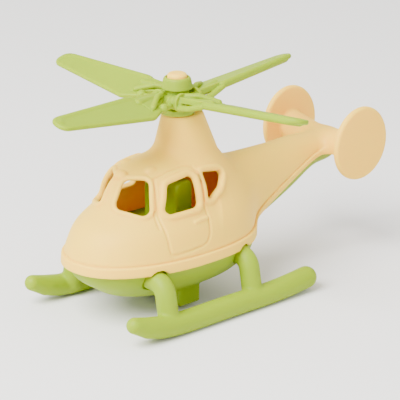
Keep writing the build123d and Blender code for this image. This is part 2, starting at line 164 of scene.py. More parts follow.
def inset_corners(corners, inset):
    """Corners of a convex polygon whose sides have all moved inwards."""
    corners = np.asarray(corners, float)
    moved = []
    for before, here, after in zip(np.roll(corners, 1, axis=0), corners, np.roll(corners, -1, axis=0)):
        a, b = here - before, after - here
        a, b = a / np.linalg.norm(a), b / np.linalg.norm(b)
        inward_a, inward_b = np.array([-a[1], a[0]]), np.array([-b[1], b[0]])
        moved.append(here + (inward_a + inward_b) * inset / (1 + inward_a @ inward_b))
    return np.array(moved)


def tube(points, line, radius, closed=False):
    """Field of a round rod along a 3-D polyline; radius is one number, or one for each point."""
    line = np.asarray(line, float)
    radii = np.broadcast_to(radius, len(line))
    ends = np.roll(line, -1, axis=0) if closed else line[1:]
    nearest = np.full(len(points), 1e9)
    for start, end, start_radius, end_radius in zip(line, ends, radii, np.roll(radii, -1)):
        run = end - start
        away = points - start
        share = np.clip(away @ run / max(run @ run, 1e-9), 0, 1)
        away = away - share[:, None] * run
        distance = np.sqrt(np.einsum("ij,ij->i", away, away))
        nearest = np.minimum(nearest, distance - start_radius - (end_radius - start_radius) * share)
    return nearest


def near(points, line, reach):
    """Which points lie in the box round a polyline, reach wider each way."""
    line = np.asarray(line, float)
    return np.all((points > line.min(0) - reach) & (points < line.max(0) + reach), axis=1)


def change_near(field, points, line, reach, change, *args):
    """Changes field only where it is near a line, to change(field there, points there, *args)."""
    here = near(points, line, reach)
    if here.any():
        field[here] = change(field[here], points[here], *args)
    return field


def raise_rod(field, points, line, radius, blend, closed=False):
    return union(field, tube(points, line, radius, closed), blend)


def sink_rod(field, points, line, radius, blend, closed=False):
    return cut(field, tube(points, line, radius, closed), blend)


def extruded(flat, along, half, edge):
    """Field of a flat 2-D field given a thickness, with round edges."""
    side, end = flat + edge, np.abs(along) - half + edge
    outside = np.hypot(np.maximum(side, 0), np.maximum(end, 0))
    return outside + np.minimum(np.maximum(side, end), 0) - edge


def box_field(points, low, high, edge):
    """Field of a box with round edges."""
    low, high = np.asarray(low, float), np.asarray(high, float)
    away = np.abs(points - (low + high) / 2) - (high - low) / 2 + edge
    outside = np.linalg.norm(np.maximum(away, 0), axis=1)
    return outside + np.minimum(away.max(1), 0) - edge


def ball(points, centre, radii):
    """Field of an ellipsoid, good near its surface."""
    away = (points - np.asarray(centre, float)) / np.asarray(radii, float)
    size = np.linalg.norm(away, axis=1) + 1e-6
    steepness = np.linalg.norm(away / np.asarray(radii, float), axis=1) + 1e-6
    return size * (size - 1) / steepness


def ring(points, centre, axis, radius, half_length, edge):
    """Field of a round disc or collar about an axis through centre."""
    away = points - np.asarray(centre, float)
    along = away @ axis
    across = np.sqrt(np.maximum(np.einsum("ij,ij->i", away, away) - along**2, 0))
    return extruded(across - radius, along, half_length, edge)


# ---- Fields to meshes ----------------------------------------------------------------------------

def gradient(field, points, step=0.05):
    slopes = []
    for axis in range(3):
        shift = np.zeros(3)
        shift[axis] = step
        slopes.append((field(points + shift) - field(points - shift)) / (2 * step))
    return np.stack(slopes, axis=1)


def grid_values(field, axes):
    """The field at every grid point, in slabs along X."""
    xs, ys, zs = axes
    values = np.empty((len(xs), len(ys), len(zs)), np.float32)
    slab = max(1, 400000 // (len(ys) * len(zs)))
    for first in range(0, len(xs), slab):
        mesh = np.meshgrid(xs[first:first + slab], ys, zs, indexing="ij")
        points = np.stack([m.ravel() for m in mesh], axis=1)
        values[first:first + slab] = field(points).reshape(mesh[0].shape)
    return values


def surface_net(values, origin, cell):
    """Vertices and quads where the grid's values pass through zero: one vertex in each crossed cell."""
    cells = np.array(values.shape) - 1
    inside = values < 0
    rings, crossings = [], []
    for axis in range(3):
        u, v = (axis + 1) % 3, (axis + 2) % 3
        first = [slice(None)] * 3
        second = [slice(None)] * 3
        first[axis], second[axis] = slice(None, -1), slice(1, None)
        first, second = tuple(first), tuple(second)
        edges = np.argwhere(inside[first] != inside[second])
        before = values[first][tuple(edges.T)]
        after = values[second][tuple(edges.T)]
        points = edges.astype(float)
        points[:, axis] += before / (before - after)
        around = []
        for du, dv in ((-1, -1), (0, -1), (0, 0), (-1, 0)):
            corner = edges.copy()
            corner[:, u] += du
            corner[:, v] += dv
            around.append(np.ravel_multi_index(corner.T, cells))
        around = np.stack(around, axis=1)
        around[before > 0] = around[before > 0][:, ::-1]
        rings.append(around)
        crossings.append(points)
    rings, crossings = np.concatenate(rings), np.concatenate(crossings)
    used, index = np.unique(rings.ravel(), return_inverse=True)
    index = index.ravel()
    count = np.bincount(index, minlength=len(used))
    spread = np.repeat(crossings, 4, axis=0)
    vertices = np.stack([np.bincount(index, spread[:, a], len(used)) / count for a in range(3)], axis=1)
    return vertices * cell + origin, index.reshape(-1, 4)


def settle(field, vertices, cell, rounds=2):
    """Moves vertices onto the surface itself."""
    for _ in range(rounds):
        slope = gradient(field, vertices)
        steepness = np.maximum(np.einsum("ij,ij->i", slope, slope), 0.05)
        step = (field(vertices) / steepness)[:, None] * slope
        length = np.linalg.norm(step, axis=1, keepdims=True)
        vertices = vertices - step * np.minimum(1, 0.5 * cell / np.maximum(length, 1e-9))
    return vertices


def new_mesh_object(name, vertices, faces):
    mesh = bpy.data.meshes.new(name)
    mesh.from_pydata([tuple(v) for v in vertices * MM], [], [tuple(f) for f in faces])
    mesh.validate()
    made = bpy.data.objects.new(name, mesh)
    bpy.context.scene.collection.objects.link(made)
    return made


def thin_out(made, most=MOST_TRIANGLES):
    """Reduces a mesh to at most that many triangles."""
    triangles = sum(len(p.vertices) - 2 for p in made.data.polygons)
    if triangles <= most:
        return
    reduce = made.modifiers.new("reduce", "DECIMATE")
    reduce.ratio = most / triangles
    depsgraph = bpy.context.evaluated_depsgraph_get()
    reduced = bpy.data.meshes.new_from_object(made.evaluated_get(depsgraph))
    made.modifiers.clear()
    made.data = reduced


def moulding(name, field, low, high, cell, symmetric=False):
    """A smooth-shaded mesh of the surface of a field. A symmetric field is worked out for x > 0 only."""
    low, high = np.asarray(low, float) - 3 * cell, np.asarray(high, float) + 3 * cell
    axes = [np.arange(a, b, cell) for a, b in zip(low, high)]
    if symmetric:
        axes[0] = np.arange(cell / 2, high[0], cell)
    values = grid_values(field, axes)
    origin = np.array([a[0] for a in axes])
    if symmetric:
        values = np.concatenate([values[::-1], values])
        origin[0] = -axes[0][-1]
    vertices, faces = surface_net(values, origin, cell)
    vertices = settle(field, vertices, cell)
    made = new_mesh_object(name, vertices, faces)
    thin_out(made)
    made.data.polygons.foreach_set("use_smooth", [True] * len(made.data.polygons))
    return made


# ---- Cabin, boom and mast ------------------------------------------------------------------------

WIDEST = 69.0               # how far behind the nose the cabin is widest

# Cabin levels: height above the rim, the nose's setback, half width, reach behind the widest place,
# and the outline's power, which makes it squarer above 2.
CABIN_LEVELS = np.array([
    (-12.0, -0.5, 42.2, 66.5, 2.15),
    (0.0, 0.0, 42.0, 65.0, 2.15),
    (7.5, 0.8, 41.4, 64.0, 2.15),
    (15.5, 4.0, 39.8, 62.0, 2.15),
    (23.5, 9.5, 37.0, 59.0, 2.15),
    (29.5, 17.5, 33.2, 56.0, 2.1),
    (33.5, 23.3, 30.8, 53.5, 2.1),
    (39.5, 26.7, 29.4, 50.0, 2.1),
    (45.5, 30.0, 27.6, 46.0, 2.1),
    (50.5, 33.8, 24.8, 41.0, 2.1),
    (54.5, 39.4, 20.6, 35.0, 2.1),
    (57.5, 46.5, 14.5, 27.0, 2.0),
    (59.7, 56.0, 7.5, 16.0, 2.0),
])

# Belly levels, the same way, from above the rim down.
BELLY_LEVELS = np.array([
    (9.5, 2.5, 40.2, 66.5, 2.15),
    (0.0, 3.0, 40.0, 65.0, 2.15),
    (-5.5, 5.0, 38.6, 64.0, 2.15),
    (-11.0, 10.5, 35.5, 60.5, 2.15),
    (-16.5, 19.0, 30.0, 55.0, 2.1),
    (-21.5, 31.0, 22.0, 46.5, 2.1),
    (-24.5, 41.0, 13.0, 35.0, 2.0),
    (-25.5, 50.0, 5.0, 21.0, 2.0),
])

# Boom sections: distance behind the nose, half width, height of the middle above the rim, half height.
BOOM_SECTIONS = np.array([
    (101.0, 28.0, 22.5, 26.0),
    (115.0, 24.5, 22.3, 25.7),
    (131.0, 19.0, 22.3, 25.2),
    (149.0, 14.0, 23.9, 23.6),
    (171.0, 11.8, 28.6, 19.1),
    (185.0, 11.2, 32.4, 15.3),
    (199.0, 10.8, 35.3, 11.4),
    (213.0, 10.0, 36.1, 10.0),
    (222.0, 5.0, 38.0, 5.5),
])
BOOM_START = BOOM_SECTIONS[0, 0]
BOOM_END = BOOM_SECTIONS[-1, 0]
BOOM_LEAD = 6.0                   # the boom runs on ahead of its first section, inside the cabin


class Bowl:
    """A body given by level outlines that are superellipses, of one reach ahead and another behind."""

    def __init__(self, levels, rear_power):
        height, setback, half, behind, power = levels.T
        self.size = Curve(height, half**2)
        self.ahead = Curve(height, half / (WIDEST - setback))
        self.behind = Curve(height, half / behind)
        self.power = Curve(height, power)
        self.rear_power = rear_power
        self.lowest, self.highest = height.min(), height.max()

    def __call__(self, points):
        x, y, z = points.T
        level = z - RIM_Z
        shaped = np.clip(level, self.lowest, self.highest)
        back = y - NOSE_Y - WIDEST
        front = back < 0
        ratio = np.where(front, self.ahead(shaped), self.behind(shaped))
        ratio_slope = np.where(front, self.ahead.slope(shaped), self.behind.slope(shaped))
        power = np.where(front, self.power(shaped), self.rear_power)
        return swept(x, back, self.size(level), self.size.slope(level), ratio, ratio_slope, 0.0, power)


cabin = Bowl(CABIN_LEVELS, 2.4)
belly = Bowl(BELLY_LEVELS, 2.5)

behind_nose, boom_half, boom_middle, boom_half_height = BOOM_SECTIONS.T
boom_size = Curve(behind_nose, boom_half**2)
boom_centre = Curve(behind_nose, boom_middle)
boom_ratio = Curve(behind_nose, boom_half / boom_half_height)


def boom(points):
    x, y, z = points.T
    back = np.maximum(y - NOSE_Y, BOOM_START)
    within = np.minimum(back, BOOM_END)
    rod = swept(x, z - RIM_Z - boom_centre(back), boom_size(back), boom_size.slope(back),
                boom_ratio(within), boom_ratio.slope(within), boom_centre.slope(back))
    return np.maximum(rod, BOOM_START - BOOM_LEAD - (y - NOSE_Y))


MAST_TOP_HALF = (11.9, 13.4)      # half widths across and along
MAST_BASE_HALF = (21.5, 27.0)
MAST_TOP_BACK = 4.1               # the mast's top is this far behind the rotor axis
MAST_BASE_BACK = 7.5
MAST_DROP = 40.0                  # its base is this far below its top
MAST_FOOT = 4.0                   # and the cone runs on this far below its base


def mast(points, inset=0.0):
    x, y, z = points.T
    down = (MAST_TOP_Z - z) / MAST_DROP
    half = MAST_TOP_HALF[0] + (MAST_BASE_HALF[0] - MAST_TOP_HALF[0]) * down - inset
    along = MAST_TOP_HALF[1] + (MAST_BASE_HALF[1] - MAST_TOP_HALF[1]) * down - inset
    middle = ROTOR[1] + MAST_TOP_BACK + (MAST_BASE_BACK - MAST_TOP_BACK) * down
    spread = (MAST_BASE_HALF[0] - MAST_TOP_HALF[0]) / MAST_DROP
    cone = swept(x, y - middle, half**2, -2 * half * spread, half / along)
    cone = overlap(cone, z - MAST_TOP_Z + inset, 1.6)
    return np.maximum(cone, MAST_TOP_Z - MAST_DROP - MAST_FOOT - z)


ARM_RADIUS = 10.4                 # of the cross arm that carries the fins
FIN_HALF = (23.2, 24.2)           # half length and half height of a stabiliser fin
FIN_THICK = 4.2
FIN_CANT = math.radians(1.0)      # the fins' tops lean outwards
FIN_RAKE = math.radians(-1.5)     # and the egg's axis leans forwards
FIN_NARROWING = 0.02              # share by which its top half narrows
FIN_EDGE = 1.9
fin_centre = np.array([32.5, NOSE_Y + 211.8, RIM_Z + 43.8])
arm_start = np.array([0.0, fin_centre[1], fin_centre[2] - 8.7])
arm_end = fin_centre - (0.0, 0.0, 2.0)


def fin(points):
    away = points - fin_centre
    cos_cant, sin_cant = math.cos(FIN_CANT), math.sin(FIN_CANT)
    outward = away[:, 0] * cos_cant - away[:, 2] * sin_cant
    up = away[:, 0] * sin_cant + away[:, 2] * cos_cant
    cos_rake, sin_rake = math.cos(FIN_RAKE), math.sin(FIN_RAKE)
    high = up * cos_rake + away[:, 1] * sin_rake
    back = away[:, 1] * cos_rake - up * sin_rake
    half = FIN_HALF[0] * (1 - FIN_NARROWING * high / FIN_HALF[1])
    egg = swept(back, high, half**2, 0.0, half / FIN_HALF[1])
    return extruded(egg, outward, FIN_THICK / 2, FIN_EDGE)


# ---- The line where the two shells meet ----------------------------------------------------------

SWEEP_START = 132.0               # behind the nose, where the line starts to rise
SWEEP_END = 195.0
SWEEP_RISE = 34.5
SWEEP_EASE = 5.0                  # how gently it turns at each end


def joint_height(y):
    """Height of the joint line above the rim, and its slope: level, then rising, then level again."""
    height, slope = 0.0, 0.0
    for start, sign in ((SWEEP_START, 1), (SWEEP_END, -1)):
        past = (y - NOSE_Y - start) / SWEEP_EASE
        height = height + sign * SWEEP_EASE * np.logaddexp(0, past)
        slope = slope + sign / (1 + np.exp(-past))
    grade = SWEEP_RISE / (SWEEP_END - SWEEP_START)
    return grade * height, grade * slope


def above_joint(points):
    """Distance above the joint line."""
    height, slope = joint_height(points[:, 1])
    return (points[:, 2] - RIM_Z - height) / np.sqrt(1 + slope**2)


# ---- Windows and door ----------------------------------------------------------------------------

def on_cabin_frame(places):
    """Points given as x, distance behind the nose, and height above the rim."""
    return np.array(places, float) + (0.0, NOSE_Y, RIM_Z)


# Openings on the left side, as corners: top front, bottom front, bottom rear, top rear.
WINDSHIELD = on_cabin_frame([
    (4.4, 35.9, 51.8), (6.7, 25.5, 36.7), (25.0, 38.0, 32.0), (16.4, 45.2, 52.3),
])
DOOR_WINDOW = on_cabin_frame([
    (23.3, 53.5, 49.3), (28.8, 46.9, 32.3), (31.5, 72.6, 33.2), (23.9, 73.2, 51.8),
])
QUARTER_WINDOW = on_cabin_frame([
    (22.9, 80.8, 51.2), (30.2, 81.2, 33.9), (25.6, 92.0, 40.0), (19.6, 98.8, 47.1),
])
# Each opening's corner rounding, how far its raised frame lies outside its edge, and the frame's radius.
OPENINGS = [(WINDSHIELD, 4.2, 1.5, 1.8), (DOOR_WINDOW, 3.6, 2.0, 2.2), (QUARTER_WINDOW, 2.2, 2.0, 2.1)]

DOOR_OUTLINE = on_cabin_frame([
    (0, 48.6, 53.4), (0, 58.0, 55.2), (0, 71.0, 56.4), (0, 76.8, 55.2), (0, 78.6, 51.0), (0, 77.8, 40.0),
    (0, 76.6, 26.0), (0, 74.8, 17.5), (0, 71.6, 13.2), (0, 67.0, 11.6), (0, 46.5, 10.0), (0, 43.9, 11.2),
    (0, 43.3, 14.0), (0, 43.2, 30.0), (0, 44.4, 42.0), (0, 46.2, 50.2),
])
PILLAR_GROOVE = on_cabin_frame([(36, 40.6, 26.5), (36, 41.2, 31.0), (36, 41.9, 35.0)])
BEAD_SUNK = 0.5                   # how far a window frame's middle line lies under the skin
GROOVE_RADIUS = 0.85


def window_plane(corners):
    """Middle, and unit vectors across, up and outwards, of a window's mean plane."""
    middle = corners.mean(0)
    across = (corners[2] + corners[3] - corners[0] - corners[1]) / 2
    up = (corners[0] + corners[3] - corners[1] - corners[2]) / 2
    outwards = np.cross(across, up)
    outwards /= np.linalg.norm(outwards)
    across /= np.linalg.norm(across)
    return middle, across, np.cross(outwards, across), outwards


def flat_corners(corners):
    middle, across, up, _ = window_plane(corners)
    return np.stack([(corners - middle) @ across, (corners - middle) @ up], axis=1)


def rounded_outline(flat, rounding, offset, spacing=2.5):
    """Points round a rounded polygon, offset outwards, evenly close together."""
    points = []
    inner = inset_corners(flat, rounding)
    for before, here, after in zip(np.roll(inner, 1, axis=0), inner, np.roll(inner, -1, axis=0)):
        start = math.atan2(*(here - before)[::-1]) - math.pi / 2
        end = math.atan2(*(after - here)[::-1]) - math.pi / 2
        turn = (end - start) % (2 * math.pi)
        for share in np.linspace(0, 1, 6):
            angle = start + turn * share
            points.append(here + (rounding + offset) * np.array([math.cos(angle), math.sin(angle)]))
    return spaced(np.array(points), spacing)


def spaced(loop, spacing):
    """A closed loop's points, with more put in on its long runs."""
    points = []
    for here, after in zip(loop, np.roll(loop, -1, axis=0)):
        pieces = max(1, int(np.linalg.norm(after - here) / spacing))
        points += [here + (after - here) * i / pieces for i in range(pieces)]
    return np.array(points)


def onto_skin(skin, points, direction, depth=0.0):
    """Slides points along a direction until the skin's field there is -depth."""
    points = np.array(points, float)
    for _ in range(25):
        off = skin(points) + depth
        slope = (skin(points + 0.1 * direction) - skin(points - 0.1 * direction)) / 0.2
        step = np.clip(off / np.maximum(slope, 0.25), -4, 4)
        points = points - step[:, None] * direction
    return points


def opening_beads(skin):
    """The middle line and radius of the raised frame round each opening."""
    lines = []
    for corners, rounding, outside, radius in OPENINGS:
        middle, across, up, outwards = window_plane(corners)
        loop = rounded_outline(flat_corners(corners), rounding, outside)
        places = middle + loop[:, :1] * across + loop[:, 1:] * up
        lines.append((onto_skin(skin, places, outwards, BEAD_SUNK), radius))
    return lines


def opening(points, corners, rounding):
    """Field of the straight hole through one opening."""
    middle, across, up, outwards = window_plane(corners)
    away = points - middle
    hole = polygon(away @ across, away @ up, flat_corners(corners), rounding)
    return np.maximum(hole, np.abs(away @ outwards) - 14)


# ---- Upper shell ---------------------------------------------------------------------------------

BAND_HEIGHT = 6.5
BAND_TAIL_HEIGHT = 3.6            # the band narrows along the boom
BAND_THINNING = 0.45              # and stands out this much less there
BAND_TAPER_START = SWEEP_START - 10
BAND_TAPER_LENGTH = 60.0
CREASE_RADIUS = 0.55              # of the groove along the band's top
CREASE_ABOVE = 0.2
BUMPS = on_cabin_frame([(0.0, 37.0, 53.8), (10.9, 50.9, 56.2)])
BUMP_RADII = ((4.6, 3.6, 3.4), (2.4, 3.6, 2.2))
HANDLE_RADIUS = 1.2
PILLAR_RADIUS = 0.9
CABIN_FILLET = 12.0               # between the cabin and the boom
MAST_FILLET = 7.0
INSIDE_FILLET = 6.0               # round the mast's foot, inside
ARM_FILLET = 6.0
FIN_FILLET = 1.5


def cabin_and_boom(points):
    return union(cabin(points), boom(points), CABIN_FILLET)


def bare_skin(points):
    """Outside of the cabin, boom and mast, without details."""
    return union(cabin_and_boom(points), mast(points), MAST_FILLET)


def hollow(points):
    """The space inside the walls; the mast's wall is half as thick again."""
    return union(cabin_and_boom(points), mast(points, WALL * 0.5), INSIDE_FILLET) + WALL


def mirrored_points(points):
    folded = points.copy()
    folded[:, 0] = np.abs(folded[:, 0])
    return folded


bead_lines = opening_beads(bare_skin)
door_line = onto_skin(bare_skin, spaced(DOOR_OUTLINE, 2.5) + (38.0, 0, 0), X_AXIS)
pillar_line = onto_skin(bare_skin, PILLAR_GROOVE, X_AXIS)
handle_line = onto_skin(bare_skin, on_cabin_frame([(36, 65.5, 25.8), (36, 75.5, 26.6)]), X_AXIS)


def add_band(skin, points, height):
    """The band along the joint line, and the groove along the band's top."""
    tailwards = np.clip((points[:, 1] - NOSE_Y - BAND_TAPER_START) / BAND_TAPER_LENGTH, 0, 1)
    band_height = BAND_HEIGHT + (BAND_TAIL_HEIGHT - BAND_HEIGHT) * tailwards
    crease = np.hypot(skin, height - band_height - CREASE_ABOVE) - CREASE_RADIUS
    band = overlap(skin - BAND_PROUD * (1 - BAND_THINNING * tailwards), height - band_height, 0.8)
    return cut(union(skin, band, 0.2), crease, 0.3)


def add_bump(skin, points, centre, radii):
    return union(skin, ball(points, centre, radii), 1.5)


def add_details(skin, points):
    """Roof bumps, window frames, the door's handle and the grooves round it."""
    for centre, radii in zip(BUMPS, BUMP_RADII):
        skin = change_near(skin, points, [centre], 8, add_bump, centre, radii)
    for line, radius in bead_lines:
        skin = change_near(skin, points, line, 6, raise_rod, line, radius, 0.4, True)
    skin = change_near(skin, points, handle_line, 5, raise_rod, handle_line, HANDLE_RADIUS, 0.5)
    skin = change_near(skin, points, door_line, 3, sink_rod, door_line, GROOVE_RADIUS, 0.4, True)
    return change_near(skin, points, pillar_line, 3, sink_rod, pillar_line, PILLAR_RADIUS, 0.6)


def cut_opening(shell, points, corners, rounding):
    return cut(shell, opening(points, corners, rounding), 0.6)


def upper_shell(points):
    points = mirrored_points(points)
    height = above_joint(points)
    skin = add_band(bare_skin(points), points, height)
    arms = tube(points, [arm_start, arm_end], ARM_RADIUS)
    skin = union(skin, np.maximum(arms, points[:, 0] - arm_end[0]), ARM_FILLET)
    skin = add_details(skin, points)
    skin = overlap(skin, -height, 0.8)
    skin = union(skin, fin(points), FIN_FILLET)
    shell = cut(skin, hollow(points), 0.5)
    for corners, rounding, *_ in OPENINGS:
        shell = change_near(shell, points, corners, 16, cut_opening, corners, rounding)
    return cut(shell, leg_holes(points, LEG_RADIUS + UPPER_HOLE_GAP), 0.5)


# ---- Lower shell ---------------------------------------------------------------------------------

LEG_RADIUS = 6.4
LEG_PLACES = (NOSE_Y + 34.8, NOSE_Y + 104.2)
LEG_Z = RIM_Z - 4.6
UPPER_HOLE_GAP = 0.9              # round a leg, in the upper shell's rim
LOWER_HOLE_GAP = 0.5
LEG_HOLE_START = 23.0             # how far out from the middle the holes start
BOOM_STEP = 0.9                   # the boom's green underside lies this much inside the cream
BLOCK_HALF = 23.5                 # the block under the belly
BLOCK_Y = (NOSE_Y + 64.0, NOSE_Y + 81.0)
BLOCK_TOP = RIM_Z - 17.0


def leg_holes(points, radius):
    """Round holes along X through the side walls, one for each leg."""
    x, y, z = points.T
    holes = np.full(len(points), 1e9)
    for leg_y in LEG_PLACES:
        holes = np.minimum(holes, np.hypot(y - leg_y, z - LEG_Z) - radius)
    return np.maximum(holes, LEG_HOLE_START - np.abs(x))


def lower_shell(points):
    points = mirrored_points(points)
    height = above_joint(points)
    bowl = union(belly(points), boom(points) + BOOM_STEP, 8.0)
    block_low = (-BLOCK_HALF, BLOCK_Y[0], belly_low[2])
    block_high = (BLOCK_HALF, BLOCK_Y[1], BLOCK_TOP)
    body = union(bowl, box_field(points, block_low, block_high, 2.0), 1.2)
    shell = overlap(cut(body, bowl + WALL, 0.5), height + 0.05, 0.4)
    return cut(shell, leg_holes(points, LEG_RADIUS + LOWER_HOLE_GAP), 0.4)


# ---- Cabin deck and seat -------------------------------------------------------------------------

DECK_THICK = 2.5
DECK_TOP = RIM_Z + 11.5
SEAT_HALF = 14.7
SEAT_Y = (NOSE_Y + 68.0, NOSE_Y + 82.5)
SEAT_LOW = DECK_TOP - 12          # the seat's outline runs on below the deck, and is cut off there
SEAT_HIGH = deck_high[2]
SEAT_SIDE = [
    (SEAT_Y[0], SEAT_LOW), (SEAT_Y[1], SEAT_LOW), (SEAT_Y[1], SEAT_HIGH), (SEAT_Y[0], SEAT_HIGH),
]
SEAT_ROUND = 5.0                  # of the seat's top corners, seen from the side
SEAT_EDGE = 2.0
DECK_GAP = 0.3                    # between the deck and the cabin's walls
POST_REACH = 1.0                  # how far the posts and the seat reach into the deck
POSTS = [(20.0, NOSE_Y + 55.0), (20.0, NOSE_Y + 87.0)]
POST_RADIUS = 4.2


def cabin_deck(points):
    points = mirrored_points(points)
    y, z = points[:, 1], points[:, 2]
    slab = np.abs(z - DECK_TOP + DECK_THICK / 2) - DECK_THICK / 2
    slab = np.maximum(slab, cabin(points) + WALL + DECK_GAP)
    slab = np.maximum(slab, np.maximum(y - deck_high[1], deck_low[1] - y))
    under = DECK_TOP - POST_REACH
    seat = extruded(polygon(y, z, SEAT_SIDE, SEAT_ROUND), points[:, 0], SEAT_HALF, SEAT_EDGE)
    deck = union(slab, np.maximum(seat, under - z), 1.5)
    middle = (deck_low[2] + under) / 2
    for post_x, post_y in POSTS:
        post = ring(points, (post_x, post_y, middle), Z_AXIS, POST_RADIUS, under - middle, 0.4)
        deck = union(deck, post, 1.0)
    return deck


# ---- Skids ---------------------------------------------------------------------------------------

RUNNER_RADIUS = 7.0
RUNNER_FLAT = 0.3
RUNNER_X = skid_high[0] - RUNNER_RADIUS
RUNNER_Z = skid_low[2] + RUNNER_RADIUS - RUNNER_FLAT
RUNNER_REAR = skid_high[1] - RUNNER_RADIUS
# The runner's middle line: distance ahead of its rear end, rise, and radius there.
RUNNER_STATIONS = [
    (0.0, 2.2, 7.0), (21.3, 0.35, 7.0), (51.3, 0.0, 7.0), (81.3, 0.0, 7.0),
    (117.3, 0.9, 7.0), (131.3, 3.6, 6.7), (143.1, 8.2, 5.0),
]
LEG_FILLET = 2.0                  # where a leg meets its runner
LEG_BEND = 9.0
LEG_BEND_X = 34.0
LEG_FOOT_UP = 2.0                 # the leg ends this far above the runner's lowest middle line
LEG_TURN = math.radians(80.0)     # below the bend the leg leans out by the rest of a right angle


def arc(centre, start, turn, radius, across, up, steps=10):
    """Points along an arc in the plane of two unit vectors."""
    centre, across, up = np.asarray(centre), np.asarray(across), np.asarray(up)
    angles = start + turn * np.linspace(0, 1, steps)
    return [centre + radius * (math.cos(a) * across + math.sin(a) * up) for a in angles]


def runner_line():
    """Points along the runner's middle line, and the radius at each."""
    ahead, rise, radius = np.array(RUNNER_STATIONS).T
    along = np.linspace(ahead[0], ahead[-1], 15)
    heights = RUNNER_Z + Curve(ahead, rise)(along)
    places = [(RUNNER_X, RUNNER_REAR - a, h) for a, h in zip(along, heights)]
    return places, np.interp(along, ahead, radius)


def leg_line(leg_y):
    centre = (LEG_BEND_X, leg_y, LEG_Z - LEG_BEND)
    turn = arc(centre, math.pi / 2, -LEG_TURN, LEG_BEND, (1, 0, 0), (0, 0, 1))
    drop = turn[-1][2] - RUNNER_Z - LEG_FOOT_UP
    foot = turn[-1] + np.array([drop / math.tan(LEG_TURN), 0, -drop])
    return [np.array([skid_low[0], leg_y, LEG_Z])] + turn + [foot]


def left_skid(points):
    body = tube(points, *runner_line())
    for leg_y in LEG_PLACES:
        line = leg_line(leg_y)
        body = change_near(body, points, line, 20, raise_rod, line, LEG_RADIUS, LEG_FILLET)
    body = overlap(body, skid_low[2] - points[:, 2], 0.4)
    return np.maximum(body, skid_low[0] - points[:, 0])


def right_skid(points):
    return left_skid(points * (-1, 1, 1))


# ---- Rotor ---------------------------------------------------------------------------------------

REST_ANGLE = math.radians(4.2)
CONING = math.radians(3.7)
PITCH = math.radians(-16.0)
HUB_Z = head_low[2] + 8.6
BLADE_TIP = 102.8
BLADE_PLAN = [
    (22.0, -6.6), (34.0, -11.0), (BLADE_TIP, -5.8), (BLADE_TIP, 7.4), (34.0, 16.0), (22.0, 9.6),
]
BLADE_ROUND = 6.2
BLADE_HALF = 1.5                  # half a blade's thickness
# The thicker leading edge: a rod along the blade, in the blade's own pitched frame.
LEADING_EDGE = [(32.0, -9.0, -0.7), (BLADE_TIP - 8, -3.9, -0.7), (BLADE_TIP - 4, 0.5, -0.6)]
LEADING_RADIUS = 2.3
BLADE_NAMES = ["blade_left", "blade_rear", "blade_right", "blade_front"]


def turned(points, axis, angle):
    """Points turned about a frame axis by an angle."""
    u, v = (axis + 1) % 3, (axis + 2) % 3
    out = points.copy()
    out[:, u] = points[:, u] * math.cos(angle) - points[:, v] * math.sin(angle)
    out[:, v] = points[:, u] * math.sin(angle) + points[:, v] * math.cos(angle)
    return out


def arm_frame(points, index):
    """Points in one arm's own frame: X out along the arm, Z up."""
    local = points - (ROTOR[0], ROTOR[1], HUB_Z)
    local = turned(local, 2, -(REST_ANGLE + index * math.pi / 2))
    return turned(local, 1, CONING)


def blade(index):
    """The field of one blade, as a function of points."""
    def field(points):
        local = turned(arm_frame(points, index), 0, -PITCH)
        x, y, z = local.T
        sheet = extruded(polygon(x, y, BLADE_PLAN, BLADE_ROUND), z, BLADE_HALF, 1.3)
        return union(sheet, tube(local, LEADING_EDGE, LEADING_RADIUS), 1.5)
    return field


# One arm's parts, in its own frame. The barrel and its flange sit to one side of the arm's middle line.
BARREL = [(-1.0, -8.3, -0.4), (8.8, -6.6, -0.2)]
BARREL_RADIUS = 4.0
BARREL_RIBS = [(2.6, -7.7, -0.3), (5.8, -7.1, -0.3)]
FLANGE = (9.6, -6.2, 0.2)
FORK_RADIUS = 1.8
FORK_RIBS = [
    [(9.6, -3.4, 3.6), (18.0, 0.4, 4.0), (28.5, 7.2, 0.2)],
    [(9.6, -9.4, -2.6), (20.0, -10.2, -1.4), (31.0, -9.8, 1.4)],
]
TONGUE = [(15.5, -5.2, 0.8), (22.0, -4.4, 0.8), (31.0, -2.6, 0.8)]
TONGUE_RADII = (2.6, 3.0, 3.2)
WEB_HALF = 1.9                    # half the thickness of the web between the fork's ribs
WEB = [(8.5, -9.0), (31.5, -8.8), (31.5, 9.8), (8.5, -2.4)]
KNOB = (21.5, 9.2, -0.8)
KNOB_RADIUS = 2.7
LINK = [KNOB, (14.5, 7.4, -1.4), (9.0, 3.0, -1.6)]
LINK_RADIUS = 1.5


def rotor_arm(points, index):
    """Barrel, flange and fork round a blade's root, and the link with its ball."""
    local = arm_frame(points, index)
    arm = tube(local, BARREL, BARREL_RADIUS)
    for rib in BARREL_RIBS:
        arm = union(arm, ring(local, rib, X_AXIS, 4.5, 0.7, 0.3), 0.5)
    arm = union(arm, ring(local, FLANGE, X_AXIS, 6.0, 1.0, 0.5), 0.4)
    pitched = turned(local, 0, -PITCH)
    web = extruded(polygon(pitched[:, 0], pitched[:, 1], WEB, 0.5), pitched[:, 2], WEB_HALF, 0.6)
    arm = union(arm, web, 0.5)
    for rib in FORK_RIBS:
        arm = union(arm, tube(local, rib, FORK_RADIUS), 0.5)
    arm = union(arm, tube(local, TONGUE, TONGUE_RADII), 0.4)
    arm = union(arm, tube(local, LINK, LINK_RADIUS), 0.5)
    return union(arm, ball(local, KNOB, (KNOB_RADIUS,) * 3), 0.4)


